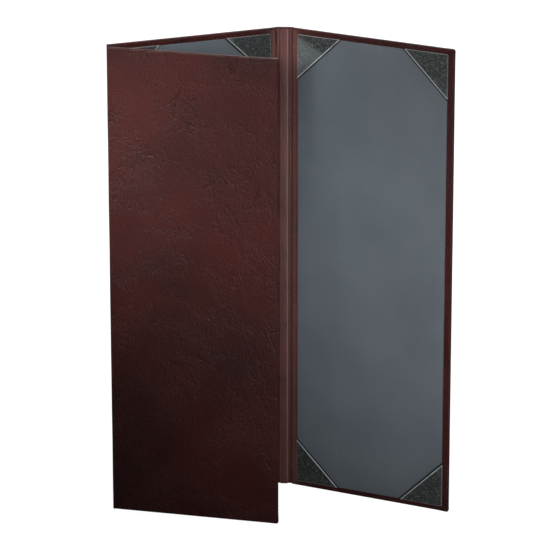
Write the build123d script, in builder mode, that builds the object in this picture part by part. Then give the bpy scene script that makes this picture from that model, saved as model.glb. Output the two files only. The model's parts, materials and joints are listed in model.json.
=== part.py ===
"""A three-panel menu cover of leatherette over board, standing half folded.

Seen from inside and laid flat, the pieces run from left to right: front panel, front spine,
middle panel, back spine, back panel. The front panel folds in over the middle panel, and the
back panel folds in over both. Each panel is a board wrapped in leatherette, with a liner
inside whose four corner tabs hold the corners of a menu sheet.
"""

from build123d import *
from math import cos, radians, sin
import os

# Boards, in mm
board_width = 129.0
board_height = 365.1
board_thickness = 1.7

# Leatherette of the cover and of the hinge lining
leather = 0.45
turn_in = 12.0
head_lip = 1.5
lining_overlap = 12.0
corner_radius = 1.5
edge_radius = 0.6

# Liner and its corner tabs
side_border = 4.9
head_border = 4.6
card_thickness = 0.35
facing_thickness = 0.15
window_gap = 0.3
pocket_gap = 0.25
tab_leather = 0.4
tab_leg = 34.0

# Creases and spines
crease_gap = 0.12
edge_gap = 0.2
strip_thickness = 1.0
strip_gap = 0.7
closing_gap = 0.3
side_gap = 1.25

# How the cover stands: the angle of each panel to a line across its front
middle_angle = 19.0
front_angle = 13.0
back_angle = 24.5

# Depths, counted inwards from a panel's outer face
board_back = leather + board_thickness
border_depth = board_back + leather
card_depth = border_depth + card_thickness
facing_depth = card_depth + facing_thickness
flap_underside = facing_depth + pocket_gap
panel_depth = flap_underside + tab_leather
strip_back = leather + strip_thickness
strip_depth = strip_back + leather

# Widths that follow from how the panels close on each other
panel_height = board_height + 2 * leather
crease_margin = 2 * leather + edge_gap
strip_margin = border_depth + strip_gap
front_spine_width = 2 * panel_depth + closing_gap
back_spine_width = front_spine_width + panel_depth + closing_gap
strip_width = back_spine_width - 2 * strip_margin
middle_width = board_width + 2 * crease_margin
outer_width = crease_margin + board_width + leather
front_width = middle_width - strip_depth - side_gap
front_board_width = front_width - crease_margin - leather

# Headings of the five parts in plan, from the free edge of the front panel onwards
front_heading = 180 - front_angle
front_spine_heading = (front_heading + middle_angle) / 2
middle_heading = middle_angle
back_spine_heading = (middle_angle - back_angle) / 2
back_heading = -back_angle


def along(heading, distance):
    """A step in plan along a heading."""
    return Vector(cos(radians(heading)), sin(radians(heading))) * distance


def inwards(heading, distance):
    """A step in plan from the outer face of a part towards its inner face."""
    return along(heading - 90, distance)


# The creases in plan, from the back spine's first crease
middle_to_back = Vector(0, 0)
front_to_middle = middle_to_back - along(middle_heading, middle_width)
front_crease = front_to_middle - along(front_spine_heading, front_spine_width)
front_edge = front_crease - along(front_heading, front_width)
back_crease = middle_to_back + along(back_spine_heading, back_spine_width)
back_edge = back_crease + along(back_heading, outer_width)

# What reaches furthest in plan: the creases, and the rounded free edges
front_rounding = front_edge + along(front_heading, edge_radius)
back_rounding = back_edge - along(back_heading, edge_radius)
reach = [
    (front_to_middle - along(front_spine_heading, crease_gap), 0),
    (front_crease + along(front_spine_heading, crease_gap), 0),
    (middle_to_back + along(back_spine_heading, crease_gap), 0),
    (back_crease - along(back_spine_heading, crease_gap), 0),
    (front_rounding + inwards(front_heading, edge_radius), edge_radius),
    (front_rounding + inwards(front_heading, border_depth - edge_radius), edge_radius),
    (back_rounding + inwards(back_heading, edge_radius), edge_radius),
    (back_rounding + inwards(back_heading, border_depth - edge_radius), edge_radius),
]
middle_of_plan = Vector(
    (min(p.X - r for p, r in reach) + max(p.X + r for p, r in reach)) / 2,
    (min(p.Y - r for p, r in reach) + max(p.Y + r for p, r in reach)) / 2,
)


def face_plane(start, heading):
    """Outer face of a part: x along the part, y up, z inwards."""
    return Plane(
        origin=start - middle_of_plan, x_dir=along(heading, 1), z_dir=inwards(heading, 1)
    )


def plan_plane(start, heading):
    """Floor under a part: x along the part, y outwards, z up."""
    return Plane(origin=start - middle_of_plan, x_dir=along(heading, 1), z_dir=(0, 0, 1))


def save(piece, name):
    piece.label = name
    export_step(piece, f"parts/{name}.step")


def upright_rectangle(left, right, bottom, top):
    """A rectangle given by its sides, in the sketch that is open."""
    with Locations(((left + right) / 2, (bottom + top) / 2)):
        Rectangle(right - left, top - bottom)


def box_on(plane, left, right, bottom, top, low, high):
    """A plain sheet or board lying between two depths of a part."""
    with BuildPart() as piece:
        with BuildSketch(plane.offset(low)):
            upright_rectangle(left, right, bottom, top)
        extrude(amount=high - low)
    return piece.part


class Panel:
    """Plan sizes of one panel, with its free edge to the left, to the right or nowhere."""

    def __init__(self, name, start, heading, width, free):
        self.name = name
        self.face = face_plane(start, heading)
        self.floor = plan_plane(start, heading)
        self.free = free
        self.board_left = leather if free == "left" else crease_margin
        self.board_right = self.board_left + width
        self.rim_left = self.board_left - (leather if free == "left" else 0)
        self.rim_right = self.board_right + (leather if free == "right" else 0)
        self.card_left = self.board_left + side_border
        self.card_right = self.board_right - side_border
        self.fill_left = self.board_left + lining_overlap
        self.fill_right = self.board_right - lining_overlap
        if free == "left":
            self.fill_left = self.rim_left + turn_in
        if free == "right":
            self.fill_right = self.rim_right - turn_in

    def crease_sides(self):
        """Side of each crease: -1 to the left of the panel, 1 to its right."""
        return [side for side, edge in ((-1, "left"), (1, "right")) if self.free != edge]

    def free_corners(self, sketch):
        if self.free is None:
            return []
        ends = sketch.vertices().sort_by(Axis.X)
        return ends[:2] if self.free == "left" else ends[-2:]


def make_board(panel):
    """Stiff board, a leatherette's thickness inside the outline of the panel."""
    with BuildPart() as board:
        with BuildSketch(panel.face.offset(leather)) as outline:
            upright_rectangle(
                panel.board_left, panel.board_right, leather, leather + board_height
            )
            if panel.free:
                fillet(panel.free_corners(outline), corner_radius - leather)
        extrude(amount=board_thickness)
    return board.part


def make_cover(panel, board):
    """Leatherette round the board, turned in at head, tail and free edge."""
    inner = Axis(panel.face.origin, panel.face.z_dir)
    sideways = Axis(panel.face.origin, panel.face.x_dir)
    with BuildPart() as cover:
        with BuildSketch(panel.face) as outline:
            upright_rectangle(panel.rim_left, panel.rim_right, 0, panel_height)
            if panel.free:
                fillet(panel.free_corners(outline), corner_radius)
        extrude(amount=border_depth)
        # Round every long edge that the leatherette is wrapped over
        for flat in (cover.faces().sort_by(inner)[0], cover.faces().sort_by(inner)[-1]):
            rim = flat.edges().sort_by(sideways)
            if -1 in panel.crease_sides():
                rim = rim[1:]
            if 1 in panel.crease_sides():
                rim = rim[:-1]
            fillet(rim, edge_radius)
        # The space of the board, open towards the creases
        add(board, mode=Mode.SUBTRACT)
        # Inside, the leatherette ends at its turn-in and leaves room for the hinge lining
        with BuildSketch(panel.face.offset(board_back)):
            upright_rectangle(
                panel.fill_left, panel.fill_right, turn_in, panel_height - turn_in
            )
            for side in panel.crease_sides():
                left, right = lining_span(panel, side)
                upright_rectangle(left, right, head_lip, panel_height - head_lip)
        extrude(amount=leather, mode=Mode.SUBTRACT)
        # Outside, the sheet runs on to each crease
        for side in panel.crease_sides():
            edge = panel.board_left if side < 0 else panel.board_right
            outer_reach = edge + side * (crease_margin - crease_gap)
            inner_reach = outer_reach - side * leather
            with BuildSketch(panel.floor.offset(edge_radius)):
                with BuildLine():
                    Polyline(
                        (edge, 0),
                        (outer_reach, 0),
                        (inner_reach, -leather),
                        (edge, -leather),
                        close=True,
                    )
                make_face()
            extrude(amount=panel_height - 2 * edge_radius)
    return cover.part


def lining_span(panel, side):
    """Left and right side of the hinge lining where it lies on a panel."""
    if side < 0:
        return panel.board_left, panel.board_left + lining_overlap
    return panel.board_right - lining_overlap, panel.board_right


def make_liner_card(panel):
    """Thin card over the turn-ins, with its back let in between them."""
    with BuildPart() as card:
        with BuildSketch(panel.face.offset(border_depth)):
            upright_rectangle(
                panel.card_left, panel.card_right, head_border, panel_height - head_border
            )
        extrude(amount=card_thickness)
        with BuildSketch(panel.face.offset(board_back)):
            upright_rectangle(
                panel.fill_left + window_gap,
                panel.fill_right - window_gap,
                turn_in + window_gap,
                panel_height - turn_in - window_gap,
            )
        extrude(amount=leather)
    return card.part


def make_tab(panel, side, rise):
    """Corner tab: a flap over the pocket, and two edges turned down round the liner card.

    side is -1 at the left and 1 at the right, rise is -1 at the bottom and 1 at the top. The
    three straight stretches of the tab meet face to face.
    """
    x = panel.card_left - tab_leather if side < 0 else panel.card_right + tab_leather
    y = head_border - tab_leather if rise < 0 else panel_height - head_border + tab_leather

    def corner(across, up):
        return x - side * across, y - rise * up

    flap = [corner(0, 0), corner(tab_leg, 0), corner(0, tab_leg)]
    level_edge = [
        corner(0, 0),
        corner(tab_leg, 0),
        corner(tab_leg - tab_leather, tab_leather),
        corner(0, tab_leather),
    ]
    upright_edge = [
        corner(0, tab_leather),
        corner(tab_leather, tab_leather),
        corner(tab_leather, tab_leg - tab_leather),
        corner(0, tab_leg),
    ]
    stretches = []
    for outline, low, high in (
        (flap, flap_underside, panel_depth),
        (level_edge, border_depth, flap_underside),
        (upright_edge, border_depth, flap_underside),
    ):
        with BuildPart() as stretch:
            with BuildSketch(panel.face.offset(low)):
                with BuildLine():
                    Polyline(*outline, close=True)
                make_face()
            extrude(amount=high - low)
        stretches.append(stretch.part.solid())
    return Compound(children=stretches)


# The three panels
panels = [
    Panel("front", front_edge, front_heading, front_board_width, "left"),
    Panel("middle", front_to_middle, middle_heading, board_width, None),
    Panel("back", back_crease, back_heading, board_width, "right"),
]
for panel in panels:
    board = make_board(panel)
    save(board, f"{panel.name}_board")
    save(make_cover(panel, board), f"{panel.name}_cover_leather")
    save(make_liner_card(panel), f"{panel.name}_liner_card")
    facing = box_on(
        panel.face,
        panel.card_left,
        panel.card_right,
        head_border,
        panel_height - head_border,
        card_depth,
        facing_depth,
    )
    save(facing, f"{panel.name}_liner_facing")
    for side, side_name in ((-1, "left"), (1, "right")):
        for rise, rise_name in ((1, "top"), (-1, "bottom")):
            save(make_tab(panel, side, rise), f"{panel.name}_{rise_name}_{side_name}_tab")

# The ends of the hinge lining that are glued to the panels, under the liner cards
front_panel, middle_panel, back_panel = panels
for name, panel, side in (
    ("front_panel_hinge_lining", front_panel, 1),
    ("middle_panel_front_hinge_lining", middle_panel, -1),
    ("middle_panel_back_hinge_lining", middle_panel, 1),
    ("back_panel_hinge_lining", back_panel, -1),
):
    left, right = lining_span(panel, side)
    lining = box_on(
        panel.face, left, right, head_lip, panel_height - head_lip, board_back, border_depth
    )
    save(lining, name)

# Front spine: leatherette and lining, bending along both edges
front_spine_floor = plan_plane(front_crease, front_spine_heading)
lining_height = panel_height - 2 * head_lip


def bevelled_sheet(width, low, high):
    """Section of a sheet whose ends stand back from its creases by as much as they are deep."""
    return [
        (crease_gap + low, -low),
        (width - crease_gap - low, -low),
        (width - crease_gap - high, -high),
        (crease_gap + high, -high),
    ]


with BuildPart() as front_spine_leather:
    with BuildSketch(front_spine_floor):
        with BuildLine():
            Polyline(*bevelled_sheet(front_spine_width, 0, leather), close=True)
        make_face()
    extrude(amount=panel_height)
save(front_spine_leather.part, "front_spine_leather")

with BuildPart() as front_spine_lining:
    with BuildSketch(front_spine_floor.offset(head_lip)):
        with BuildLine():
            Polyline(*bevelled_sheet(front_spine_width, leather, 2 * leather), close=True)
        make_face()
    extrude(amount=lining_height)
save(front_spine_lining.part, "front_spine_lining")

# Back spine: wider, with a stiff strip between its two grooves
back_spine_face = face_plane(middle_to_back, back_spine_heading)
back_spine_floor = plan_plane(middle_to_back, back_spine_heading)
strip_left = strip_margin
strip_right = strip_margin + strip_width

back_spine_strip = box_on(
    back_spine_face,
    strip_left,
    strip_right,
    leather,
    panel_height - leather,
    leather,
    strip_back,
)
save(back_spine_strip, "back_spine_strip")

with BuildPart() as back_spine_leather:
    with BuildSketch(back_spine_floor):
        with BuildLine():
            Polyline(*bevelled_sheet(back_spine_width, 0, leather), close=True)
        make_face()
    extrude(amount=panel_height)
    # Turned in over the head and tail of the strip
    with BuildSketch(back_spine_face.offset(leather)):
        upright_rectangle(strip_left, strip_right, 0, panel_height)
    extrude(amount=strip_depth - leather)
    add(back_spine_strip, mode=Mode.SUBTRACT)
    with BuildSketch(back_spine_face.offset(strip_back)):
        upright_rectangle(strip_left, strip_right, head_lip, panel_height - head_lip)
    extrude(amount=leather, mode=Mode.SUBTRACT)
save(back_spine_leather.part, "back_spine_leather")

# The lining dips into each groove and rises over the strip
groove_depth = 2 * leather
with BuildPart() as back_spine_lining:
    with BuildSketch(back_spine_floor.offset(head_lip)):
        with BuildLine():
            Polyline(
                (crease_gap + leather, -leather),
                (strip_left, -leather),
                (strip_left, -strip_back),
                (strip_right, -strip_back),
                (strip_right, -leather),
                (back_spine_width - crease_gap - leather, -leather),
                (back_spine_width - crease_gap - groove_depth, -groove_depth),
                (strip_right + leather, -groove_depth),
                (strip_right + leather, -strip_depth),
                (strip_left - leather, -strip_depth),
                (strip_left - leather, -groove_depth),
                (crease_gap + groove_depth, -groove_depth),
                close=True,
            )
        make_face()
    extrude(amount=lining_height)
save(back_spine_lining.part, "back_spine_lining")

# The crease lines stand upright at these points of the floor
for name, point in (
    ("front cover crease", front_crease),
    ("front spine crease", front_to_middle),
    ("back spine crease", middle_to_back),
    ("back cover crease", back_crease),
):
    place = point - middle_of_plan
    print(f"{name}: x {place.X:.3f} y {place.Y:.3f}")
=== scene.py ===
import json
import math

import bmesh
import bpy
from mathutils import Matrix, Vector, noise


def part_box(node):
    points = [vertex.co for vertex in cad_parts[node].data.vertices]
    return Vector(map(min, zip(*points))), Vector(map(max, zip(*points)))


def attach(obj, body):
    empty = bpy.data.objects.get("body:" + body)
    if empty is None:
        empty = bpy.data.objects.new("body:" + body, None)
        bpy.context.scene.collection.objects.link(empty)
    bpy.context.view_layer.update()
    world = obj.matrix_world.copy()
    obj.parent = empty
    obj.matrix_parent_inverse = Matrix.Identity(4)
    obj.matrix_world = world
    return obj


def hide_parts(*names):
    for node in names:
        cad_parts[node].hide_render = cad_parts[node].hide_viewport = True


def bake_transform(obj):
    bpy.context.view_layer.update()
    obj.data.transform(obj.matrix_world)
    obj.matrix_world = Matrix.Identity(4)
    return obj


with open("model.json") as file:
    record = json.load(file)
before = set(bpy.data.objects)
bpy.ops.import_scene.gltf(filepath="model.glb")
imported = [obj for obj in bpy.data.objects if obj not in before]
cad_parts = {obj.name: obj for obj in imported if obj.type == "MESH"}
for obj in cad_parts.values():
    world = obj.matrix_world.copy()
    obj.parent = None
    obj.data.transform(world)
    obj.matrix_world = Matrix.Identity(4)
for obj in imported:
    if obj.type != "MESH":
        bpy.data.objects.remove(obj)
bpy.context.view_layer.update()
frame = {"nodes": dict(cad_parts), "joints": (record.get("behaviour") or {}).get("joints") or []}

nodes = frame["nodes"]
mm = 0.001
tiny = 1e-4
cutDistance = 1e-5
sharpAngle = 40
noiseMiddle = (0.3, 0.7)
up = Vector((0, 0, 1))
print("frame loaded,", len(nodes), "nodes")


# Where each part of the cover lies
def centreOf(node):
    low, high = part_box(node)
    return (low + high) / 2


def frameAt(origin, outerNode, innerNode):
    # x runs along the part, y up and z inwards, in millimetres
    faces = nodes[innerNode].data.polygons
    inward = max(faces, key=lambda face: face.area).normal.copy()
    if inward.dot(centreOf(innerNode) - centreOf(outerNode)) < 0:
        inward.negate()
    turn = Matrix((up.cross(inward), up, inward)).transposed().to_4x4()
    return Matrix.Translation(origin) @ turn @ Matrix.Scale(mm, 4)


def movedTo(matrix, origin):
    moved = matrix.copy()
    moved.translation = origin
    return moved


def spanOf(node, part):
    # Lowest and highest corner of a node in its part's own millimetres
    back = parts[part].inverted()
    places = [back @ vert.co for vert in nodes[node].data.vertices]
    return (Vector([min(p[i] for p in places) for i in range(3)]),
            Vector([max(p[i] for p in places) for i in range(3)]))


hinge = {joint["name"]: Vector(joint["pos_m"]) for joint in frame["joints"]}
parts = {
    "front_panel": frameAt(hinge["front_panel_crease"], "front_board", "front_liner_facing"),
    "front_spine": frameAt(hinge["front_panel_crease"], "front_spine_leather", "front_spine_lining"),
    "middle_panel": frameAt(hinge["front_spine_crease"], "middle_board", "middle_liner_facing"),
    "back_spine": frameAt(hinge["back_spine_crease"], "back_spine_strip", "back_spine_lining"),
    "back_panel": frameAt(hinge["back_panel_crease"], "back_board", "back_liner_facing"),
}
spineWidth = {
    "front_spine": (hinge["front_spine_crease"] - hinge["front_panel_crease"]).length / mm,
    "back_spine": (hinge["back_panel_crease"] - hinge["back_spine_crease"]).length / mm,
}
middleWidth = (hinge["back_spine_crease"] - hinge["front_spine_crease"]).length / mm

# Where each part starts when the whole cover is laid out flat
flatStart = {"front_panel": 0.0, "front_spine": 0.0, "middle_panel": spineWidth["front_spine"]}
flatStart["back_spine"] = flatStart["middle_panel"] + middleWidth
flatStart["back_panel"] = flatStart["back_spine"] + spineWidth["back_spine"]
coverHeight = spanOf("middle_cover_leather", "middle_panel")[1].y

# Each crease: its joint, the part on its left, the part on its right
creases = {
    "front_cover": ("front_panel_crease", "front_panel", "front_spine"),
    "front_spine": ("front_spine_crease", "front_spine", "middle_panel"),
    "back_spine": ("back_spine_crease", "middle_panel", "back_spine"),
    "back_cover": ("back_panel_crease", "back_spine", "back_panel"),
}

# Camera
camera = {
    "place": (-0.0005, -3.0, 1.3086),
    "lookDown": 20.6,
    "focalPixels": 4303,
    "imagePixels": 560,
}
cameraData = bpy.data.cameras.new("camera")
cameraData.lens = camera["focalPixels"] / camera["imagePixels"] * cameraData.sensor_width
cameraObject = bpy.data.objects.new("camera", cameraData)
cameraObject.location = camera["place"]
cameraObject.rotation_euler = (math.radians(90 - camera["lookDown"]), 0, 0)
bpy.context.scene.collection.objects.link(cameraObject)
bpy.context.scene.camera = cameraObject
print("camera placed")


# Node helpers
def addNode(tree, kind, sockets=None, **settings):
    node = tree.nodes.new(kind)
    for name, value in settings.items():
        setattr(node, name, value)
    for name, value in (sockets or {}).items():
        if isinstance(value, bpy.types.NodeSocket):
            tree.links.new(value, node.inputs[name])
        else:
            node.inputs[name].default_value = value
    return node


def calculate(tree, operation, first, second):
    return addNode(tree, "ShaderNodeMath", {0: first, 1: second}, operation=operation).outputs[0]


def rangeOf(tree, value, fromLow, fromHigh, toLow, toHigh):
    ranged = addNode(tree, "ShaderNodeMapRange", {
        "Value": value, "From Min": fromLow, "From Max": fromHigh, "To Min": toLow, "To Max": toHigh})
    return ranged.outputs["Result"]


def mixColours(tree, factor, first, second):
    mixed = addNode(tree, "ShaderNodeMix", {0: factor, 6: first, 7: second}, data_type="RGBA")
    return mixed.outputs[2]


def noiseOf(tree, place, scale, detail, roughness=0.5):
    return addNode(tree, "ShaderNodeTexNoise", {
        "Vector": place, "Scale": scale, "Detail": detail, "Roughness": roughness}).outputs


def addBump(tree, shader, height, distance, strength=1.0):
    bump = addNode(tree, "ShaderNodeBump", {"Height": height, "Distance": distance, "Strength": strength})
    tree.links.new(bump.outputs["Normal"], shader.inputs["Normal"])


def rgb(red, green, blue):
    # A colour given in screen values of 0 to 255
    def linear(value):
        share = value / 255
        return share / 12.92 if share <= 0.04045 else ((share + 0.055) / 1.055) ** 2.4
    return (linear(red), linear(green), linear(blue), 1)


def newMaterial(name):
    material = bpy.data.materials.new(name)
    material.use_nodes = True
    tree = material.node_tree
    return material, tree, tree.nodes["Principled BSDF"]


def flatPlaceOf(tree):
    return addNode(tree, "ShaderNodeAttribute", attribute_name="flatPlace").outputs["Vector"]


def paintedLightOf(tree):
    # 1 where a highlight is painted, -1 where shade or a shadow line is painted, or where a lighter lining
    # is darkened to the cover's tone
    return addNode(tree, "ShaderNodeAttribute", attribute_name="paintedLight").outputs["Fac"]


# Leather grain, used by all the leatherettes. Sizes are in millimetres, places in metres
grainShape = {
    "bendShare": 0.7,
    "bendReach": 1.1,
    "coarseWidth": 0.17,
    "coarseGaps": (0.55, 0.40, 0.60),
    "finerShare": 2.1,
    "finerWidth": 0.30,
    "finerGaps": (1.3, 0.45, 0.60),
    "finerStrength": 0.6,
    "creaseShare": 0.31,
    "creaseWidth": 0.07,
    "creaseGaps": (0.22, 0.50, 0.62),
    "poreShare": 1.3,
    "blotchShare": 0.45,
    "pebbleReach": 0.7,
}


def buildLeatherGrain():
    look = grainShape
    group = bpy.data.node_groups.new("leatherGrain", "ShaderNodeTree")
    sockets = group.interface
    sockets.new_socket("Place", in_out="INPUT", socket_type="NodeSocketVector")
    for name, size in (("Pebble Size", 0.9), ("Crinkle Size", 4.0), ("Patch Size", 30.0), ("Stretch", 1.0)):
        sockets.new_socket(name, in_out="INPUT", socket_type="NodeSocketFloat").default_value = size
    for name in ("Pebbles", "Crinkles", "Creases", "Patches", "Pores", "Blotches"):
        sockets.new_socket(name, in_out="OUTPUT", socket_type="NodeSocketFloat")
    start = group.nodes.new("NodeGroupInput")
    end = group.nodes.new("NodeGroupOutput")
    place = start.outputs["Place"]

    def scaleFor(sizeName, share=1.0):
        return calculate(group, "DIVIDE", share / mm, start.outputs[sizeName])

    # Bend the place about, so that no line runs straight
    bend = noiseOf(group, place, scaleFor("Crinkle Size", look["bendShare"]), 3.0, 0.6)["Color"]
    centred = addNode(group, "ShaderNodeVectorMath", {0: bend, 1: (0.5, 0.5, 0.5)}, operation="SUBTRACT")
    reach = calculate(group, "MULTIPLY", start.outputs["Crinkle Size"], look["bendReach"] * mm)
    bent = addNode(group, "ShaderNodeVectorMath", {0: centred.outputs[0], "Scale": reach},
                   operation="SCALE")
    wandering = addNode(group, "ShaderNodeVectorMath", {0: place, 1: bent.outputs[0]}, operation="ADD")
    squeeze = addNode(group, "ShaderNodeCombineXYZ", {0: 1.0, 1: start.outputs["Stretch"], 2: 1.0})
    crinklePlace = addNode(group, "ShaderNodeVectorMath", {0: wandering.outputs[0], 1: squeeze.outputs[0]},
                           operation="MULTIPLY").outputs[0]

    def edgesOf(scale, width):
        cells = addNode(group, "ShaderNodeTexVoronoi", {"Vector": crinklePlace, "Scale": scale},
                        feature="DISTANCE_TO_EDGE")
        return rangeOf(group, cells.outputs["Distance"], 0.0, width, 0.0, 1.0)

    # Lines are cut short where a second noise is low
    def brokenUp(lines, sizeShare, low, high):
        gaps = noiseOf(group, crinklePlace, scaleFor("Crinkle Size", sizeShare), 2.0)["Fac"]
        keep = rangeOf(group, gaps, low, high, 0.0, 1.0)
        line = calculate(group, "SUBTRACT", 1.0, lines)
        return calculate(group, "MULTIPLY", line, keep)

    coarse = brokenUp(edgesOf(scaleFor("Crinkle Size"), look["coarseWidth"]), *look["coarseGaps"])
    finerLines = edgesOf(scaleFor("Crinkle Size", look["finerShare"]), look["finerWidth"])
    finer = calculate(group, "MULTIPLY", brokenUp(finerLines, *look["finerGaps"]), look["finerStrength"])
    creaseLines = edgesOf(scaleFor("Crinkle Size", look["creaseShare"]), look["creaseWidth"])
    blotchScale = scaleFor("Patch Size", look["blotchShare"])
    pebbleCells = addNode(group, "ShaderNodeTexVoronoi", {
        "Vector": wandering.outputs[0], "Scale": scaleFor("Pebble Size"), "Smoothness": 0.5},
        feature="SMOOTH_F1")
    found = {
        "Pebbles": rangeOf(group, pebbleCells.outputs["Distance"], 0.0, look["pebbleReach"], 1.0, 0.0),
        "Crinkles": calculate(group, "MAXIMUM", coarse, finer),
        "Creases": brokenUp(creaseLines, *look["creaseGaps"]),
        "Patches": noiseOf(group, place, scaleFor("Patch Size"), 5.0, 0.62)["Fac"],
        "Pores": noiseOf(group, place, scaleFor("Pebble Size", look["poreShare"]), 3.0, 0.75)["Fac"],
        "Blotches": noiseOf(group, wandering.outputs[0], blotchScale, 3.0)["Fac"],
    }
    for name, value in found.items():
        group.links.new(value, end.inputs[name])
    return group


leatherGrain = buildLeatherGrain()

# How the grain's masks turn into tone and gloss, the same for every leatherette
grainTone = {
    "strongPatches": (0.44, 0.62),
    "calmStrength": 0.15,
    "calmPores": 0.6,
    "blotches": (0.34, 0.66),
    "wornPatches": (0.55, 0.75),
    "wornShare": 0.35,
    "foldShade": 0.6,
    "lineShade": 0.5,
    "poreRange": {"crest": (0.50, 0.68), "valley": (0.50, 0.34)},
    "pebbleTops": (0.6, 0.95),
    "pebbleShare": 0.25,
    # share of painted shade where the painted light attribute is below 0
    "paintedShadeShare": 0.9,
    "foldMatt": 0.15,
    # less rough along painted highlights
    "highlightGloss": 0.1,
}


def leatherMaterial(name, look):
    mask = grainTone
    material, tree, shader = newMaterial(name)
    place = flatPlaceOf(tree)
    grain = addNode(tree, "ShaderNodeGroup", node_tree=leatherGrain)
    tree.links.new(place, grain.inputs["Place"])
    for socket, key in (("Pebble Size", "pebbleSize"), ("Crinkle Size", "crinkleSize"),
                        ("Patch Size", "patchSize"), ("Stretch", "stretch")):
        grain.inputs[socket].default_value = look[key]
    pebbles, crinkles, lines, patches, pores, blotches = (grain.outputs[i] for i in range(6))

    # Crinkles and pores are strong in some patches and faint in others
    strength = rangeOf(tree, patches, *mask["strongPatches"], mask["calmStrength"], 1.0)
    poreShare = rangeOf(tree, strength, mask["calmStrength"], 1.0, mask["calmPores"] * look["poreTone"],
                        look["poreTone"])
    fold = calculate(tree, "MULTIPLY", crinkles, strength)
    line = calculate(tree, "MULTIPLY", lines, strength)
    paintedLight = paintedLightOf(tree)

    warmth = rangeOf(tree, blotches, *mask["blotches"], 0.0, 1.0)
    tone = mixColours(tree, warmth, look["deep"], look["warm"])
    worn = rangeOf(tree, patches, *mask["wornPatches"], 0.0, mask["wornShare"])
    tone = mixColours(tree, worn, tone, look["worn"])
    tone = mixColours(tree, calculate(tree, "MULTIPLY", fold, mask["foldShade"]), tone, look["valley"])
    tone = mixColours(tree, calculate(tree, "MULTIPLY", line, mask["lineShade"]), tone, look["valley"])
    for colour, span in mask["poreRange"].items():
        share = calculate(tree, "MULTIPLY", rangeOf(tree, pores, *span, 0.0, 1.0), poreShare)
        tone = mixColours(tree, share, tone, look[colour])
    tops = rangeOf(tree, pebbles, *mask["pebbleTops"], 0.0, mask["pebbleShare"])
    tone = mixColours(tree, tops, tone, look["crest"])
    # A painted highlight where the painted light attribute is above 0, and painted shade in the valley
    # colour where it is below 0
    tone = mixColours(tree, rangeOf(tree, paintedLight, 0.0, 1.0, 0.0, look["highlightTone"]), tone, look["highlight"])
    tone = mixColours(tree, rangeOf(tree, paintedLight, 0.0, -1.0, 0.0, mask["paintedShadeShare"]), tone, look["valley"])
    tree.links.new(tone, shader.inputs["Base Color"])

    rough = rangeOf(tree, patches, *noiseMiddle, *look["roughness"])
    rough = calculate(tree, "ADD", rough, calculate(tree, "MULTIPLY", fold, mask["foldMatt"]))
    rough = calculate(tree, "SUBTRACT", rough, calculate(tree, "MULTIPLY", paintedLight, mask["highlightGloss"]))
    tree.links.new(rough, shader.inputs["Roughness"])
    shader.inputs["Specular IOR Level"].default_value = look["specular"]

    height = calculate(tree, "MULTIPLY", fold, -look["crinkleRelief"])
    height = calculate(tree, "ADD", height, calculate(tree, "MULTIPLY", line, -look["creaseRelief"]))
    height = calculate(tree, "ADD", height, calculate(tree, "MULTIPLY", pebbles, look["pebbleRelief"]))
    height = calculate(tree, "ADD", height, calculate(tree, "MULTIPLY", pores, look["poreRelief"]))
    addBump(tree, shader, height, mm)
    return material


burgundy = {
    "deep": rgb(32, 10, 9),
    "warm": rgb(55, 17, 14),
    "valley": rgb(8, 3, 3),
    "crest": rgb(98, 46, 41),
    "highlight": rgb(98, 56, 50),
    "worn": rgb(60, 33, 30),
    "pebbleSize": 1.2,
    "crinkleSize": 3.2,
    "patchSize": 40.0,
    "stretch": 0.58,
    "crinkleRelief": 0.46,
    "creaseRelief": 0.5,
    "pebbleRelief": 0.08,
    "poreRelief": 0.14,
    "poreTone": 0.55,
    "highlightTone": 0.3,
    "roughness": (0.36, 0.5),
    "specular": 0.14,
}
burgundyLeather = leatherMaterial("burgundyLeather", burgundy)

# A lighter copy of the burgundy for the linings: the lighter tone paints the light on the spine's ridge and
# borders, the smoother grain is the lining's own
litSmoothBurgundy = {
    **burgundy,
    "deep": rgb(64, 36, 34),
    "warm": rgb(82, 49, 46),
    # painted highlight colour on the ridge's shoulder and the borders
    "highlight": rgb(128, 92, 85),
    "crinkleRelief": 0.18,
    "creaseRelief": 0.05,
    "poreTone": 0.15,
    "highlightTone": 0.95,
    "roughness": (0.34, 0.44),
    "specular": 0.2,
}
litSmoothLeather = leatherMaterial("litSmoothBurgundyLeather", litSmoothBurgundy)

black = {
    "deep": rgb(24, 27, 28),
    "warm": rgb(34, 38, 38),
    "valley": rgb(9, 10, 11),
    "crest": rgb(132, 138, 138),
    # painted highlight colour along the tabs' folds and rims
    "highlight": rgb(160, 166, 166),
    "worn": rgb(40, 44, 44),
    "pebbleSize": 1.4,
    "crinkleSize": 2.6,
    "patchSize": 9.0,
    "stretch": 1.0,
    "crinkleRelief": 0.12,
    "creaseRelief": 0.08,
    "pebbleRelief": 0.26,
    "poreRelief": 0.05,
    "poreTone": 0.5,
    "highlightTone": 1.0,
    "roughness": (0.34, 0.44),
    "specular": 0.3,
}
blackLeather = leatherMaterial("blackLeather", black)

slate = {
    "pale": rgb(86, 92, 98),
    "deep": rgb(78, 84, 90),
    "scuff": rgb(112, 116, 122),
    # painted shadow under the tabs' folds
    "foldShadow": rgb(6, 6, 7),
    "blotchSize": 46.0,
    "fibreSize": 0.8,
    "fibreRelief": 0.02,
    "scuffSize": 1.4,
    "scuffTurn": 24,
    "scuffStretch": 0.12,
    "scuffPeaks": (0.70, 0.80),
    "scuffShare": 0.35,
    "roughness": (0.34, 0.44),
    "specular": 0.3,
}


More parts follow.
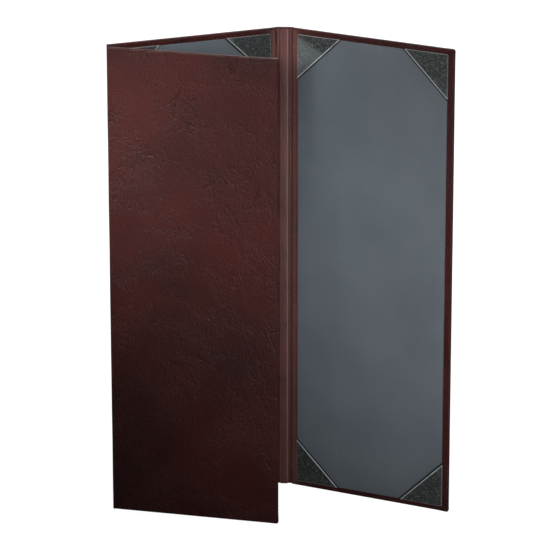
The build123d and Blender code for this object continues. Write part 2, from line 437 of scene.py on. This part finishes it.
def slatePaper():
    material, tree, shader = newMaterial("slatePaper")
    place = flatPlaceOf(tree)
    blotches = noiseOf(tree, place, 1 / (slate["blotchSize"] * mm), 4.0)["Fac"]
    fibres = noiseOf(tree, place, 1 / (slate["fibreSize"] * mm), 3.0, 0.7)["Fac"]
    thin = addNode(tree, "ShaderNodeMapping", {
        "Vector": place, "Scale": (1.0, slate["scuffStretch"], 1.0),
        "Rotation": (0, 0, math.radians(slate["scuffTurn"]))})
    scuffs = noiseOf(tree, thin.outputs[0], 1 / (slate["scuffSize"] * mm), 2.0, 0.4)["Fac"]
    tone = mixColours(tree, rangeOf(tree, blotches, *noiseMiddle, 0.0, 1.0), slate["deep"], slate["pale"])
    scuffed = rangeOf(tree, scuffs, *slate["scuffPeaks"], 0.0, slate["scuffShare"])
    tone = mixColours(tree, scuffed, tone, slate["scuff"])
    # Painted shadow lines under the tabs' folds
    tone = mixColours(tree, rangeOf(tree, paintedLightOf(tree), 0.0, -1.0, 0.0, 1.0), tone, slate["foldShadow"])
    tree.links.new(tone, shader.inputs["Base Color"])
    tree.links.new(rangeOf(tree, fibres, *noiseMiddle, *slate["roughness"]), shader.inputs["Roughness"])
    shader.inputs["Specular IOR Level"].default_value = slate["specular"]
    addBump(tree, shader, fibres, slate["fibreRelief"] * mm)
    return material


linerPaper = slatePaper()


pulpBoard = {
    "dark": rgb(128, 122, 112),
    "light": rgb(160, 154, 144),
    "fleckSize": 1.6,
    "fleckRelief": 0.1,
    "roughness": (0.8, 0.95),
}


def greyboardMaterial():
    # Coarse pulp board with darker and lighter flecks
    material, tree, shader = newMaterial("greyboard")
    place = addNode(tree, "ShaderNodeTexCoord").outputs["Object"]
    pulp = noiseOf(tree, place, 1 / (pulpBoard["fleckSize"] * mm), 4.0, 0.7)["Fac"]
    tone = mixColours(tree, pulp, pulpBoard["dark"], pulpBoard["light"])
    tree.links.new(tone, shader.inputs["Base Color"])
    tree.links.new(rangeOf(tree, pulp, *noiseMiddle, *pulpBoard["roughness"]), shader.inputs["Roughness"])
    addBump(tree, shader, pulp, pulpBoard["fleckRelief"] * mm, 0.6)
    return material


greyboard = greyboardMaterial()
print("materials made")


# Shaping helpers. A piece is shaped flat in millimetres and then stood in place
def slab(low, high):
    bm = bmesh.new()
    low, high = Vector(low), Vector(high)
    shape = Matrix.Translation((low + high) / 2) @ Matrix.Diagonal((*(high - low), 1))
    bmesh.ops.create_cube(bm, size=1, matrix=shape)
    return bm


def wholeOf(bm):
    return bm.verts[:] + bm.edges[:] + bm.faces[:]


def split(bm, place, normal, **settings):
    bmesh.ops.bisect_plane(bm, geom=wholeOf(bm), dist=cutDistance,
                           plane_co=place, plane_no=normal, **settings)


def cutAt(bm, axis, places):
    normal = Vector((0, 0, 0))
    normal[axis] = 1
    for place in places:
        split(bm, normal * place, normal)


def evenly(low, high, step):
    count = max(1, round((high - low) / step))
    return [low + (high - low) * i / count for i in range(1, count)]


def rounded(bm, edges, radius, segments):
    bmesh.ops.bevel(bm, geom=edges, offset=radius, segments=segments, profile=0.5,
                    affect="EDGES", material=-1, clamp_overlap=True)


def near(value, level):
    return abs(value - level) < tiny


def eased(value, low, high):
    # 0 below low, 1 above high and a smooth rise between them
    share = min(1.0, max(0.0, (value - low) / (high - low)))
    return share * share * (3 - 2 * share)


leatherWave = {"height": 0.10, "length": 38.0}


def stand(bm, start, placing, paintedLightAt=None):
    # Keep the flat place and the painted light and shade of each point for the materials, and stand the
    # piece in the cover
    layer = bm.verts.layers.float_vector.new("flatPlace")
    paintedLight = bm.verts.layers.float.new("paintedLight")
    for vert in bm.verts:
        vert[paintedLight] = paintedLightAt(vert.co) if paintedLightAt else 0.0
        flat = vert.co + Vector((start, 0, 0))
        vert[layer] = flat * mm
        drift = noise.noise(Vector((flat.x, flat.y, 0)) / leatherWave["length"])
        vert.co = placing(vert.co + Vector((0, 0, drift * leatherWave["height"])))


def finishPiece(bm, name, material, replaced):
    mesh = bpy.data.meshes.new(name)
    bm.to_mesh(mesh)
    bm.free()
    mesh.shade_smooth()
    mesh.set_sharp_from_angle(angle=math.radians(sharpAngle))
    mesh.materials.append(material)
    piece = bpy.data.objects.new(name, mesh)
    bpy.context.scene.collection.objects.link(piece)
    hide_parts(*replaced)
    return piece


def onPart(part):
    matrix = parts[part]
    return lambda point: matrix @ point


# Panel covers: the sheet wrapped round each board
coverSheet = {
    "thickness": 0.45,
    "cornerRadius": 2.0,
    "rimRadius": 1.05,
    "turnIn": 12.0,
    "fineCuts": (2.0, 4.0, 6.5, 9.0),
    "step": 6.0,
    "puff": 0.4,
    "puffFoot": 0.4,
    "puffReach": 5.5,
    "puffLift": 0.16,
    "mitreWidth": 0.22,
    "mitreDepth": 0.16,
}


def panelSides(name):
    # Where the panel starts and ends, which side is free, and how deep the panel is
    part = f"{name}_panel"
    boardLow, boardHigh = spanOf(f"{name}_board", part)
    rimLow, rimHigh = spanOf(f"{name}_cover_leather", part)
    free = {"front": "left", "middle": None, "back": "right"}[name]
    left = rimLow.x if free == "left" else boardLow.x
    right = rimHigh.x if free == "right" else boardHigh.x
    return left, right, free, rimHigh.z


def makeCoverSheet(name):
    look = coverSheet
    left, right, free, depth = panelSides(name)
    freeAt = {"left": left, "right": right}.get(free)
    creaseAt = [x for side, x in (("left", left), ("right", right)) if side != free]
    bm = slab((left, 0, 0), (right, coverHeight, depth))

    # Round the free corners, then every rim that the sheet is wrapped over
    if free:
        corners = [e for e in bm.edges if all(near(v.co.x, freeAt) for v in e.verts)
                   and near(e.verts[0].co.y, e.verts[1].co.y)]
        rounded(bm, corners, look["cornerRadius"], 5)
    rims = [e for e in bm.edges if near(e.verts[0].co.z, e.verts[1].co.z)
            and not any(all(near(v.co.x, x) for v in e.verts) for x in creaseAt)]
    rounded(bm, rims, look["rimRadius"], 4)

    # Fine cuts near the rims and wide ones between them
    windowLow = left + (look["turnIn"] if free == "left" else 0)
    windowHigh = right - (look["turnIn"] if free == "right" else 0)
    fine = [*look["fineCuts"], look["turnIn"]]
    cutAt(bm, 0, [left + x for x in fine] + [right - x for x in fine])
    cutAt(bm, 0, evenly(left + look["turnIn"], right - look["turnIn"], look["step"]))
    cutAt(bm, 1, fine + [coverHeight - y for y in fine])
    cutAt(bm, 1, evenly(look["turnIn"], coverHeight - look["turnIn"], look["step"]))

    # Inside, the sheet ends at its turn-in
    window = [f for f in bm.faces if f.calc_center_median().z > depth - tiny
              and windowLow < f.calc_center_median().x < windowHigh
              and look["turnIn"] < f.calc_center_median().y < coverHeight - look["turnIn"]]
    bmesh.ops.delete(bm, geom=window, context="FACES")

    if free:
        for rise in (0, coverHeight):
            foldCorner(bm, Vector((freeAt, rise, 0)), 1 if free == "right" else -1,
                       1 if rise else -1, depth)

    bmesh.ops.solidify(bm, geom=bm.faces[:], thickness=look["thickness"])
    stand(bm, flatStart[f"{name}_panel"], onPart(f"{name}_panel"))
    piece = finishPiece(bm, f"{name}_panel_cover", burgundyLeather,
                        [f"{name}_cover_leather"])
    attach(piece, f"{name}_panel")


def foldCorner(bm, corner, sideways, upwards, depth):
    # A mitred turn-in: the layers bulge at the corner, and a seam runs inwards at 45 degrees
    look = coverSheet
    reach = look["turnIn"]
    close = [f for f in bm.faces if f.calc_center_median().z > depth - 2 * look["rimRadius"]
             and abs(f.calc_center_median().x - corner.x) < reach
             and abs(f.calc_center_median().y - corner.y) < reach]
    across = Vector((sideways, -upwards, 0)).normalized()
    for shift in (-look["mitreWidth"], 0, look["mitreWidth"]):
        found = {item for f in close if f.is_valid for item in (f, *f.edges, *f.verts)}
        cut = bmesh.ops.bisect_plane(bm, geom=list(found), dist=cutDistance,
                                     plane_co=corner + across * shift, plane_no=across)
        close = [f for f in cut["geom"] if isinstance(f, bmesh.types.BMFace)]
    seam = {v for f in close if f.is_valid for v in f.verts
            if abs((v.co - corner).dot(across)) < tiny and v.co.z > depth / 2}
    outwards = Vector((sideways, upwards, 0)).normalized()
    for vert in bm.verts:
        away = ((vert.co.x - corner.x) ** 2 + (vert.co.y - corner.y) ** 2) ** 0.5
        share = math.exp(-(away / look["puffReach"]) ** 2)
        if share > 0.01:
            inner = vert.co.z / depth
            fullness = look["puffFoot"] + (1 - look["puffFoot"]) * inner
            vert.co += outwards * look["puff"] * share * fullness
            vert.co.z += look["puffLift"] * share * inner
    for vert in seam:
        vert.co.z -= look["mitreDepth"]


for name in ("front", "middle", "back"):
    makeCoverSheet(name)
print("panel covers made")


# Sheets over the creases. Depths are counted from the outer face, the rest from the crease line
hingeSheet = {
    "bendReach": 1.1,
    "leather": 0.6,
    "lining": 0.42,
    "floor": 0.95,
    "groove": 0.2,
    "grooveStart": -0.3,
    "grooveEnd": (-0.5, 0.7),  # counted from the ridge's foot, or from the middle of a plain spine
    "headLip": 1.5,
    "ridgeFoot": 1.9,
    "ridgeTop": 3.3,
    "ridgeHeight": 2.0,
    "ridgeCrown": 0.25,
    "crownStart": 0.5,  # before the ridge's top
    # painted highlight on the ridge's shoulder and painted shade in the groove
    "ridgeHighlight": {"back_spine": 0.25, "back_cover": 1.0},
    "ridgeHighlightReach": 0.6,
    "grooveShade": {"back_spine": 0.15, "back_cover": 0.5},
    "grooveShadeMargin": 0.4,
    "step": 6.0,
    "headRound": 0.22,
}


def ribbon(path, bottom, top, thickness, headRound):
    # A sheet that follows a path of (along, depth) points, from bottom to top
    bm = bmesh.new()
    chain = [bm.verts.new((x, bottom, z)) for x, z in path]
    line = [bm.edges.new(pair) for pair in zip(chain, chain[1:])]
    grown = bmesh.ops.extrude_edge_only(bm, edges=line)["geom"]
    bmesh.ops.translate(bm, vec=(0, top - bottom, 0),
                        verts=[v for v in grown if isinstance(v, bmesh.types.BMVert)])
    bmesh.ops.recalc_face_normals(bm, faces=bm.faces[:])
    if sum(f.normal.z * f.calc_area() for f in bm.faces) < 0:
        bmesh.ops.reverse_faces(bm, faces=bm.faces[:])
    cutAt(bm, 1, evenly(bottom, top, hingeSheet["step"]))
    bmesh.ops.solidify(bm, geom=bm.faces[:], thickness=thickness)
    bm.normal_update()
    ends = [f for f in bm.faces if abs(f.normal.y) > 0.9]
    folds = {e for f in ends for e in f.edges
             if sum(other in ends for other in e.link_faces) == 1
             and all(abs(other.normal.x) < 0.9 or other in ends for other in e.link_faces)}
    if headRound:
        rounded(bm, list(folds), headRound, 3)
    return bm


def spaced(*stops):
    # Places from the first stop on, each stop being (place, step up to it)
    places = [stops[0]]
    for place, step in stops[1:]:
        count = max(1, round(abs(place - places[-1]) / step))
        start = places[-1]
        places += [start + (place - start) * i / count for i in range(1, count + 1)]
    return places


def creasePlacing(joint, left, right):
    # Points to the left of the crease follow one part, points to its right the other
    origin = hinge[joint]
    leftFrame, rightFrame = movedTo(parts[left], origin), movedTo(parts[right], origin)
    turn = leftFrame.col[0].to_3d().angle(rightFrame.col[0].to_3d())
    reach = hingeSheet["bendReach"]
    radius = reach / math.tan(turn / 2)

    def place(point):
        if point.x <= -reach:
            return leftFrame @ point
        if point.x >= reach:
            return rightFrame @ point
        bent = turn * (point.x + reach) / (2 * reach)
        inner = radius - point.z
        along = inner * math.sin(bent) - reach
        return leftFrame @ Vector((along, point.y, radius - inner * math.cos(bent)))

    return place, leftFrame, rightFrame


def makeCrease(name):
    joint, left, right = creases[name]
    look = hingeSheet
    placing, leftFrame, rightFrame = creasePlacing(joint, left, right)
    spine = left if left.endswith("spine") else right
    spineSide = -1 if spine == left else 1
    half = spineWidth[spine] / 2
    reach = look["bendReach"]
    stiff = spine == "back_spine"
    start = flatStart[right] if right != "front_spine" else 0.0

    def outerDepth(q):
        # The sheet is pressed a little into the groove beside the board
        end = look["ridgeFoot"] if stiff else half
        risen = eased(q, *(end + past for past in look["grooveEnd"]))
        return look["groove"] * eased(q, -reach, look["grooveStart"]) * (1 - risen)

    def floorDepth(q):
        if not stiff:
            return look["floor"]
        rise = (look["ridgeHeight"] - look["floor"]) * eased(q, look["ridgeFoot"], look["ridgeTop"])
        crown = look["ridgeCrown"] * eased(q, look["ridgeTop"] - look["crownStart"], half)
        return look["floor"] + rise + crown

    def ridgeLightAndShade(q):
        # A painted highlight along the shoulder of the ridge, most beside the back panel, and painted shade
        # in the groove
        margin = look["grooveShadeMargin"]
        highlight = look["ridgeHighlight"][name] * max(0.0, 1 - abs(q - look["ridgeTop"]) / look["ridgeHighlightReach"])
        return highlight - look["grooveShade"][name] * (1 - eased(q, margin, look["ridgeTop"] - margin))

    if stiff:
        places = spaced(-reach, (reach, 0.275), (look["ridgeFoot"], 0.4), (look["ridgeTop"], 0.15),
                        (half, 0.45))
    else:
        places = spaced(-reach, (reach, 0.22), (half, 0.5))
    along = sorted(spineSide * q for q in places)
    for kind, depthOf, sheet, lip, roundness in (
        ("leather", outerDepth, look["leather"], 0.0, look["headRound"]),
        ("lining", floorDepth, look["lining"], look["headLip"], 0.0),
    ):
        # The leather's thickness goes inwards from its outer face, the lining's outwards from its inner one
        thick = sheet if kind == "lining" else -sheet
        bm = ribbon([(x, depthOf(spineSide * x)) for x in along], lip, coverHeight - lip, thick, roundness)
        # The ridge's lining carries a painted highlight on its shoulder and painted shade in the groove
        worn = stiff and kind == "lining"
        stand(bm, start, placing, (lambda place: ridgeLightAndShade(spineSide * place.x)) if worn else None)
        material = litSmoothLeather if kind == "lining" else burgundyLeather
        piece = finishPiece(bm, f"{name}_crease_{kind}", material,
                            [f"{spine}_{kind}"])
        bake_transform(piece)


# The ends of the hinge linings, glued to the panels. Places are counted inwards from the board's edge
liningEnd = {
    "thickness": 0.09,
    "reach": 13.0,
    "depth": 2.7,
    "edgeFall": 0.42,
    "edgeReach": 2.9,
    "fallStart": -1.5,
    "wall": -0.1,
    "turn": ((0.12, 0.12), (0.02, 0.35), (0.0, 0.7)),
    "footBelowFloor": 0.3,
    # painted highlight on the border beside the spine
    "borderHighlight": 0.18,
    "borderHighlightDepth": 1.0,
    "borderReach": (4.0, 7.0),
    "headShade": 0.75,
}


def makeHingeLining(name, side, replaced):
    # It drops over the edge of its board, from where the sheet over the crease goes on
    look = liningEnd
    left, right = panelSides(name)[:2]
    edge = left if side < 0 else right
    lip = hingeSheet["headLip"]

    def at(q):
        return edge - side * q

    def depthAt(q):
        flat = eased(q, look["fallStart"], look["edgeReach"])
        return look["depth"] - look["edgeFall"] * (1 - flat) ** 2

    wall = look["wall"]
    places = spaced(look["reach"], (look["edgeReach"], 2.5), (wall + 0.3, 0.35))
    path = [(at(q), depthAt(q)) for q in places]
    top = path[-1][1]
    path += [(at(wall + past), top - sunk) for past, sunk in look["turn"]]
    path.append((at(wall), hingeSheet["floor"] - look["footBelowFloor"]))
    bm = ribbon(path if side > 0 else path[::-1], lip, coverHeight - lip, look["thickness"], 0)

    def paintedLightAt(place):
        # A painted highlight on the border beside the spine, and as dark as the cover further on, along
        # head and tail
        beyond = eased(abs(place.x - edge), *look["borderReach"])
        highlight = look["borderHighlight"] * eased(place.z, top - look["borderHighlightDepth"], top)
        return highlight * (1 - beyond) - look["headShade"] * beyond

    stand(bm, flatStart[f"{name}_panel"], onPart(f"{name}_panel"), paintedLightAt)
    pieceName = f"{name}_panel_{'left' if side < 0 else 'right'}_hinge_lining"
    piece = finishPiece(bm, pieceName, litSmoothLeather, [replaced])
    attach(piece, f"{name}_panel")


for name in creases:
    makeCrease(name)
makeHingeLining("front", 1, "front_panel_hinge_lining")
makeHingeLining("middle", -1, "middle_panel_front_hinge_lining")
makeHingeLining("middle", 1, "middle_panel_back_hinge_lining")
makeHingeLining("back", -1, "back_panel_hinge_lining")
print("creases and hinge linings made")


# Leather turned in over the head and tail of the back spine's strip
spineTurnIn = {"reach": 12.0, "depth": 1.88, "start": 0.4, "margin": 0.3, "round": 0.5}


def makeSpineTurnIn(rise):
    look = spineTurnIn
    low, high = spanOf("back_spine_strip", "back_spine")
    bottom = coverHeight - look["reach"] if rise == "head" else 0.0
    bm = slab((low.x - look["margin"], bottom, look["start"]),
              (high.x + look["margin"], bottom + look["reach"], look["depth"]))
    end = coverHeight if rise == "head" else 0.0
    edges = [e for e in bm.edges if all(near(v.co.y, end) for v in e.verts)
             or all(near(v.co.z, look["depth"]) for v in e.verts)]
    rounded(bm, edges, look["round"], 4)
    stand(bm, flatStart["back_spine"], onPart("back_spine"))
    piece = finishPiece(bm, f"back_spine_{rise}_turn_in", burgundyLeather,
                        ["back_spine_leather"])
    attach(piece, "back_spine")


for rise in ("head", "tail"):
    makeSpineTurnIn(rise)
print("spine turn-ins made")


# Liners
liner = {
    "wrap": 0.06,
    "edgeRound": 0.16,
    "step": 8.0,
    # width and fade of the painted shadow under each tab's fold
    "foldShadowLeft": 0.8,
    "foldShadowRight": 1.3,
    "foldShadowFade": 0.4,
}


def tabWords(side, rise):
    # side is -1 at the left and 1 at the right, rise is -1 at the bottom and 1 at the top
    return f"{'top' if rise > 0 else 'bottom'}_{'left' if side < 0 else 'right'}"


def makeLiner(name):
    look = liner
    wrap = look["wrap"]
    low, high = spanOf(f"{name}_liner_facing", f"{name}_panel")
    foot = spanOf(f"{name}_liner_card", f"{name}_panel")[0].z
    bm = slab((low.x - wrap, low.y - wrap, foot), (high.x + wrap, high.y + wrap, high.z))
    rims = [e for e in bm.edges if all(near(v.co.z, high.z) for v in e.verts)]
    rounded(bm, rims, look["edgeRound"], 3)
    cutAt(bm, 0, evenly(low.x, high.x, look["step"]))
    cutAt(bm, 1, evenly(low.y, high.y, look["step"]))

    # A painted shadow line lies on the paper under the fold of each tab
    folds = []
    for side in (-1, 1):
        for rise in (-1, 1):
            tabLow, tabHigh = spanOf(f"{name}_{tabWords(side, rise)}_tab", f"{name}_panel")
            width = look["foldShadowLeft"] if side < 0 else look["foldShadowRight"]
            folds.append(((tabLow + tabHigh) / 2, Vector((-side, -rise, 0)).normalized(), width))
    for middle, inwards, width in folds:
        for past in (-look["foldShadowFade"], 0, width, width + look["foldShadowFade"]):
            split(bm, middle + inwards * past, inwards)

    def foldShadowAt(place):
        foldShadow = any(-tiny < (place - middle).dot(inwards) < width + tiny
                      for middle, inwards, width in folds)
        return -1.0 if foldShadow else 0.0

    stand(bm, flatStart[f"{name}_panel"], onPart(f"{name}_panel"), foldShadowAt)
    piece = finishPiece(bm, f"{name}_liner", linerPaper, [f"{name}_liner_facing"])
    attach(piece, f"{name}_panel")


for name in ("front", "middle", "back"):
    makeLiner(name)
print("liners made")


# Corner tabs
tab = {
    "flapUnder": 3.14,
    "flapTop": 3.66,
    "wall": 0.5,
    "foot": 2.5,
    "wallFoot": 0.3,
    "edgeRound": 0.28,
    "cornerRound": 1.0,
    "step": 3.4,
    "crown": 0.08,
    "crownReach": (0.4, 7.0),
    "hem": 1.3,
    "hemLift": 0.05,
    "hemCuts": (0.3, 0.65, 1.0, 1.5),
    # painted highlights along the fold and the rims, and painted shade under the fold
    "foldHighlightReach": (0.35, 0.8),
    "rimHighlight": 0.4,
    "rimHighlightStart": 0.1,
    "undersideShadeReach": (0.12, 0.1),
    "creaseOf": ("back", -1, 1),
    "creaseLean": (0.35, -0.65),
    "creaseDepth": 0.2,
    "creaseEnd": 3.0,
    "creaseReach": 1.1,
    # painted light on the facet below the crease
    "highlight": 0.17,
    "facetLightReach": (-0.4, 3.0),
}


def makeTab(name, side, rise):
    look = tab
    words = tabWords(side, rise)
    low, high = spanOf(f"{name}_{words}_tab", f"{name}_panel")
    corner = Vector((low.x if side < 0 else high.x, low.y if rise < 0 else high.y, 0))
    leg = high.x - low.x
    bm = slab((low.x, low.y, look["flapUnder"]), (high.x, high.y, look["flapTop"]))
    inwards = Vector((-side, -rise, 0)).normalized()
    middle = corner + Vector((-side * leg, -rise * leg, 0)) / 2
    split(bm, middle, inwards, clear_outer=True)
    bmesh.ops.holes_fill(bm, edges=[e for e in bm.edges if e.is_boundary], sides=0)
    bmesh.ops.recalc_face_normals(bm, faces=bm.faces[:])

    # Walls that go down round the liner's edges
    cutAt(bm, 0, [corner.x - side * look["wall"]])
    cutAt(bm, 1, [corner.y - rise * look["wall"]])
    under = [f for f in bm.faces if near(f.calc_center_median().z, look["flapUnder"])
             and (abs(f.calc_center_median().x - corner.x) < look["wall"]
                  or abs(f.calc_center_median().y - corner.y) < look["wall"])]
    grown = bmesh.ops.extrude_face_region(bm, geom=under)["geom"]
    bmesh.ops.translate(bm, vec=(0, 0, look["foot"] - look["flapUnder"]),
                        verts=[v for v in grown if isinstance(v, bmesh.types.BMVert)])
    bmesh.ops.delete(bm, geom=[f for f in under if f.is_valid], context="FACES")
    bmesh.ops.dissolve_limit(bm, angle_limit=math.radians(1), verts=bm.verts[:], edges=bm.edges[:])

    def foldDistance(place):
        return (middle - place).dot(inwards)

    def rimDistance(place):
        return min(abs(place.x - corner.x), abs(place.y - corner.y))

    # Round the corner, the rims and the fold
    upright = [e for e in bm.edges
               if all(near(v.co.x, corner.x) and near(v.co.y, corner.y) for v in e.verts)]
    rounded(bm, upright, look["cornerRound"], 4)
    folds = [e for e in bm.edges if near(e.verts[0].co.z, e.verts[1].co.z)
             and all(near(foldDistance(v.co), 0) and v.co.z > look["flapUnder"] - tiny for v in e.verts)]
    tops = [e for e in bm.edges if all(near(v.co.z, look["flapTop"]) for v in e.verts) and e not in folds]
    rounded(bm, tops + folds, look["edgeRound"], 4)
    cutAt(bm, 0, evenly(low.x, high.x, look["step"]) + [corner.x - side * look["wall"]])
    cutAt(bm, 1, evenly(low.y, high.y, look["step"]) + [corner.y - rise * look["wall"]])
    for share in look["hemCuts"]:
        split(bm, middle - inwards * look["hem"] * share, inwards)

    # One tab is creased from its corner, with painted light on its facet below the crease
    creased = (name, side, rise) == look["creaseOf"]
    leanX, leanY = look["creaseLean"]
    across = Vector((leanX * side, leanY * rise, 0)).normalized()
    for share in (-1, 0, 1) if creased else ():
        split(bm, corner + across * look["creaseReach"] * share, across)

    def paintedLightAt(place):
        # Painted shade under the fold, painted highlights along the fold and the rims
        underFold, underTop = look["undersideShadeReach"]
        if foldDistance(place) < underFold and place.z < look["flapTop"] - underTop:
            return -1.0
        aside = (place - corner).dot(across)
        highlight = look["highlight"] * eased(aside, *look["facetLightReach"]) if creased else 0.0
        foldHighlight = 1 - eased(foldDistance(place), *look["foldHighlightReach"])
        rimHighlight = look["rimHighlight"] * (1 - eased(rimDistance(place), look["rimHighlightStart"], look["wall"]))
        return max(highlight, foldHighlight, rimHighlight)

    # Above its walls the flap is slightly crowned, raised along its hem, and dented where it is creased
    for vert in bm.verts:
        if vert.co.z > look["foot"] + look["wallFoot"]:
            clear = rimDistance(vert.co)
            vert.co.z += look["crown"] * eased(clear, *look["crownReach"])
            pastHem = eased(foldDistance(vert.co), 0.5 * look["hem"], 1.5 * look["hem"])
            vert.co.z += look["hemLift"] * (1 - pastHem)
            if creased and abs((vert.co - corner).dot(across)) < 0.5 * look["creaseReach"]:
                vert.co.z -= look["creaseDepth"] * eased(clear, look["wall"], look["creaseEnd"])
    stand(bm, flatStart[f"{name}_panel"], onPart(f"{name}_panel"), paintedLightAt)
    piece = finishPiece(bm, f"{name}_{words}_corner_tab", blackLeather,
                        [f"{name}_{words}_tab"])
    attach(piece, f"{name}_panel")


for name in ("front", "middle", "back"):
    for side in (-1, 1):
        for rise in (-1, 1):
            makeTab(name, side, rise)
print("corner tabs made")

# What still shows of the CAD nodes is board, card and the spine's strip
for node in nodes.values():
    if not node.hide_render:
        node.data.materials.clear()
        node.data.materials.append(greyboard)

# Floor and light
studio = {
    "floorSize": 14.0,
    "floorDrop": 0.2,
    "floorTone": 0.25,
    "floorGlow": 0.92,
    "floorDim": 0.04,
    "dimReach": (0.50, 1.0),
    "ambient": 0.03,
}


def seenRays(tree):
    # 1 for what the camera sees, straight, mirrored or through glass, and 0 for light
    path = addNode(tree, "ShaderNodeLightPath")
    seen = calculate(tree, "MAXIMUM", path.outputs["Is Camera Ray"], path.outputs["Is Glossy Ray"])
    return calculate(tree, "MAXIMUM", seen, path.outputs["Is Transmission Ray"])


def makeFloor():
    bm = bmesh.new()
    bmesh.ops.create_grid(bm, x_segments=1, y_segments=1, size=studio["floorSize"] / 2)
    bmesh.ops.translate(bm, vec=(0, 0, -studio["floorDrop"] * mm), verts=bm.verts[:])
    mesh = bpy.data.meshes.new("floor")
    bm.to_mesh(mesh)
    bm.free()
    material = bpy.data.materials.new("paleFloor")
    material.use_nodes = True
    tree = material.node_tree
    tree.nodes.clear()
    output = addNode(tree, "ShaderNodeOutputMaterial")
    tone = studio["floorTone"]
    matt = addNode(tree, "ShaderNodeBsdfDiffuse", {"Color": (tone, tone, tone, 1)})

    # Reflections see the floor dimmer close to the cover than far from it
    place = addNode(tree, "ShaderNodeTexCoord").outputs["Object"]
    away = addNode(tree, "ShaderNodeVectorMath", {0: place}, operation="LENGTH").outputs["Value"]
    mirrored = rangeOf(tree, away, *studio["dimReach"], studio["floorDim"], studio["floorGlow"])
    cameraRay = addNode(tree, "ShaderNodeLightPath").outputs["Is Camera Ray"]
    strength = addNode(tree, "ShaderNodeMix", {
        0: cameraRay, 2: mirrored, 3: studio["floorGlow"]}).outputs[0]
    glow = addNode(tree, "ShaderNodeEmission", {"Color": (1, 1, 1, 1), "Strength": strength})
    bright = addNode(tree, "ShaderNodeAddShader", {0: matt.outputs[0], 1: glow.outputs[0]})
    mixed = addNode(tree, "ShaderNodeMixShader", {
        0: seenRays(tree), 1: matt.outputs[0], 2: bright.outputs[0]})
    tree.links.new(mixed.outputs[0], output.inputs["Surface"])
    mesh.materials.append(material)
    floor = bpy.data.objects.new("floor", mesh)
    bpy.context.scene.collection.objects.link(floor)


def makeWorld():
    world = bpy.data.worlds.new("studio")
    bpy.context.scene.world = world
    world.use_nodes = True
    tree = world.node_tree
    level = rangeOf(tree, seenRays(tree), 0.0, 1.0, studio["ambient"], 1.0)
    tree.links.new(level, tree.nodes["Background"].inputs["Strength"])
    tree.nodes["Background"].inputs["Color"].default_value = (1, 1, 1, 1)


# Two wide lamps light the whole cover, and four narrow beams follow the light of the photograph
lamps = {
    "high": {
        "place": (0.0, -0.15, 1.3), "aim": (0, 0, 0.2),
        "size": (0.16, 0.16), "power": 5.4, "spread": 180,
    },
    "front": {
        "place": (0.05, -1.3, 0.35), "aim": (0.08, 0, 0.215),
        "size": (0.15, 0.15), "power": 0.35, "spread": 24,
    },
    "left": {
        "place": (-0.40, -0.50, 0.50), "aim": (-0.14, 0, 0.27),
        "size": (0.1, 0.1), "power": 0.15, "spread": 24,
    },
    "top": {
        "place": (-0.25, -0.6, 0.6), "aim": (-0.07, 0, 0.41),
        "size": (0.1, 0.1), "power": 0.11, "spread": 26,
    },
    "low": {
        "place": (0.25, -1.3, 0.2), "aim": (0.11, 0, 0.05),
        "size": (0.1, 0.1), "power": 0.019, "spread": 12,
    },
    "behind": {
        "place": (0.35, 1.30, 1.05), "aim": (0, 0, 0.2),
        "size": (0.5, 0.4), "power": 18.0, "spread": 180,
    },
}


def makeLamp(name, look):
    data = bpy.data.lights.new(name, "AREA")
    data.shape = "RECTANGLE"
    data.size, data.size_y = look["size"]
    data.energy = look["power"]
    data.spread = math.radians(look["spread"])
    lamp = bpy.data.objects.new(name, data)
    lamp.location = look["place"]
    lamp.rotation_euler = (Vector(look["aim"]) - lamp.location).to_track_quat("-Z", "Y").to_euler()
    bpy.context.scene.collection.objects.link(lamp)


makeFloor()
makeWorld()
for name, look in lamps.items():
    makeLamp(name, look)
bpy.context.scene.view_settings.view_transform = "Standard"
print("floor and light made")
